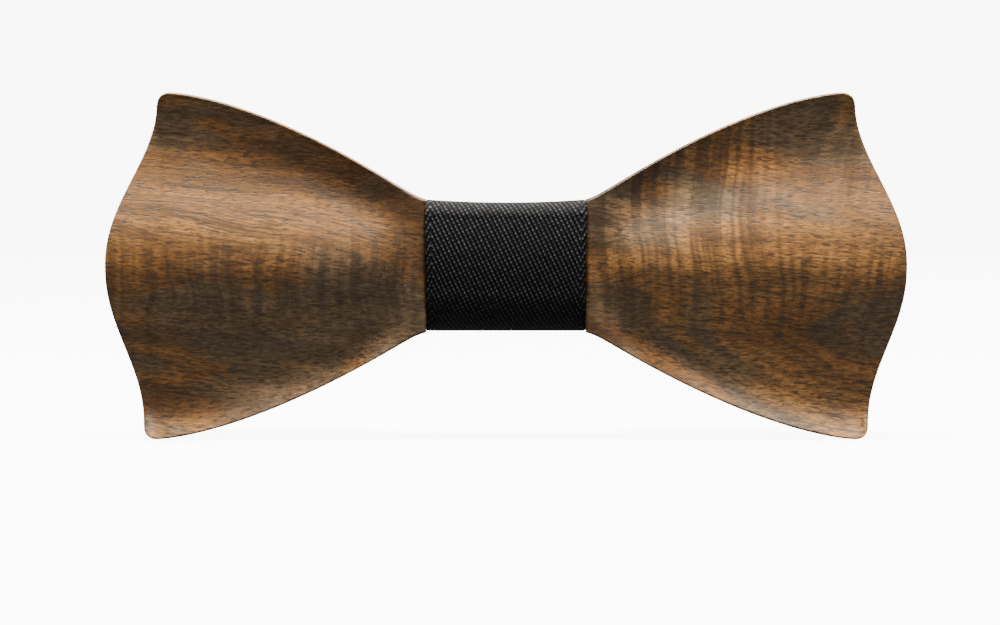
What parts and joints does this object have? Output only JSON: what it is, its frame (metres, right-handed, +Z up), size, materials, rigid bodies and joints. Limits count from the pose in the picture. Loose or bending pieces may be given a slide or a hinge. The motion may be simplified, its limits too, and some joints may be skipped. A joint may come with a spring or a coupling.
{
  "type": "wooden bow tie",
  "caption": "Carved wooden bow tie with two flared, wavy wings, a fabric band knot round the middle and an adjustable neck strap with hook and eye, folded behind the wings.",
  "frame": {"origin": "centre of the knot's flat back face, which rests on the collar", "axes": "+X along the wings, to the right as seen from the front; +Y from the front of the tie to its back, towards the wearer; +Z up as worn"},
  "size_m": [0.1202, 0.0192, 0.0523],
  "materials": {
    "walnut": "satin varnish over open pores",
    "band_twill": "tight black twill",
    "strap_webbing": "ribbed black ribbon, doubled",
    "sewing_thread": "black polyester thread",
    "nickel_plate": "bright nickel plate"
  },
  "bodies": {
    "bow": {"bow_body": "walnut", "knot_band": "band_twill", "knot_seam": "sewing_thread"},
    "strap_middle": {"strap_centre": "strap_webbing", "left_fold_one": "strap_webbing", "right_fold_one": "strap_webbing"},
    "left_first_layer": {"left_strap_one": "strap_webbing", "left_fold_two": "strap_webbing"},
    "left_second_layer": {"left_strap_two": "strap_webbing", "left_fold_three": "strap_webbing"},
    "left_third_layer": {"left_strap_end": "strap_webbing", "eye_bartack": "sewing_thread"},
    "eye": {"strap_eye": "nickel_plate"},
    "right_first_layer": {"right_strap_one": "strap_webbing", "right_fold_two": "strap_webbing"},
    "right_second_layer": {"right_strap_two": "strap_webbing", "right_fold_three": "strap_webbing"},
    "right_third_layer": {"right_strap_lead": "strap_webbing"},
    "adjuster": {"right_strap_weave": "strap_webbing", "slide_buckle": "nickel_plate", "slide_bartack": "sewing_thread", "right_strap_reach": "strap_webbing", "right_strap_return": "strap_webbing"},
    "hook_loop": {"right_strap_loop": "strap_webbing"},
    "hook": {"strap_hook": "nickel_plate"}
  },
  "joints": [
    {"name": "strap_shift", "type": "slide", "parent": "bow", "child": "strap_middle", "axis": [1, 0, 0], "range_m": [-0.008, 0.008]},
    {"name": "left_unfold", "type": "hinge", "parent": "strap_middle", "child": "left_first_layer", "pos_m": [-0.0554, -0.00042, 0], "axis": [0, 0, 1], "range_deg": [0, 180], "deforming": ["left_fold_one"]},
    {"name": "left_unfold_second", "type": "hinge", "parent": "left_first_layer", "child": "left_second_layer", "pos_m": [-0.01615, 0.0015, 0], "axis": [0, 0, 1], "range_deg": [-180, 0], "deforming": ["left_fold_two"]},
    {"name": "left_unfold_third", "type": "hinge", "parent": "left_second_layer", "child": "left_third_layer", "pos_m": [-0.05515, 0.0032, 0], "axis": [0, 0, 1], "range_deg": [0, 180], "deforming": ["left_fold_three"]},
    {"name": "right_unfold", "type": "hinge", "parent": "strap_middle", "child": "right_first_layer", "pos_m": [0.0554, -0.00042, 0], "axis": [0, 0, -1], "range_deg": [0, 180], "deforming": ["right_fold_one"]},
    {"name": "right_unfold_second", "type": "hinge", "parent": "right_first_layer", "child": "right_second_layer", "pos_m": [0.01615, 0.0015, 0], "axis": [0, 0, -1], "range_deg": [-180, 0], "deforming": ["right_fold_two"]},
    {"name": "right_unfold_third", "type": "hinge", "parent": "right_second_layer", "child": "right_third_layer", "pos_m": [0.05515, 0.0032, 0], "axis": [0, 0, -1], "range_deg": [0, 180], "deforming": ["right_fold_three"]},
    {"name": "eye_pivot", "type": "hinge", "parent": "left_third_layer", "child": "eye", "pos_m": [-0.03, 0.00515, 0], "axis": [0, 0, 1], "range_deg": [0, 100]},
    {"name": "adjuster_slide", "type": "slide", "parent": "right_third_layer", "child": "adjuster", "axis": [-1, 0, 0], "range_m": [0, 0.008], "deforming": ["right_strap_lead"]},
    {"name": "hook_extension", "type": "slide", "parent": "adjuster", "child": "hook_loop", "axis": [1, 0, 0], "range_m": [0, 0.004], "deforming": ["right_strap_reach", "right_strap_return"]},
    {"name": "hook_pivot", "type": "hinge", "parent": "hook_loop", "child": "hook", "pos_m": [0.034, 0.00435, 0], "axis": [0, 0, -1], "range_deg": [0, 100]}
  ],
  "couplings": [
    {"joint": "left_unfold_second", "follows": "left_unfold", "ratio": -1},
    {"joint": "left_unfold_third", "follows": "left_unfold", "ratio": 1},
    {"joint": "right_unfold_second", "follows": "right_unfold", "ratio": -1},
    {"joint": "right_unfold_third", "follows": "right_unfold", "ratio": 1},
    {"joint": "hook_extension", "follows": "adjuster_slide", "ratio": 0.5}
  ]
}
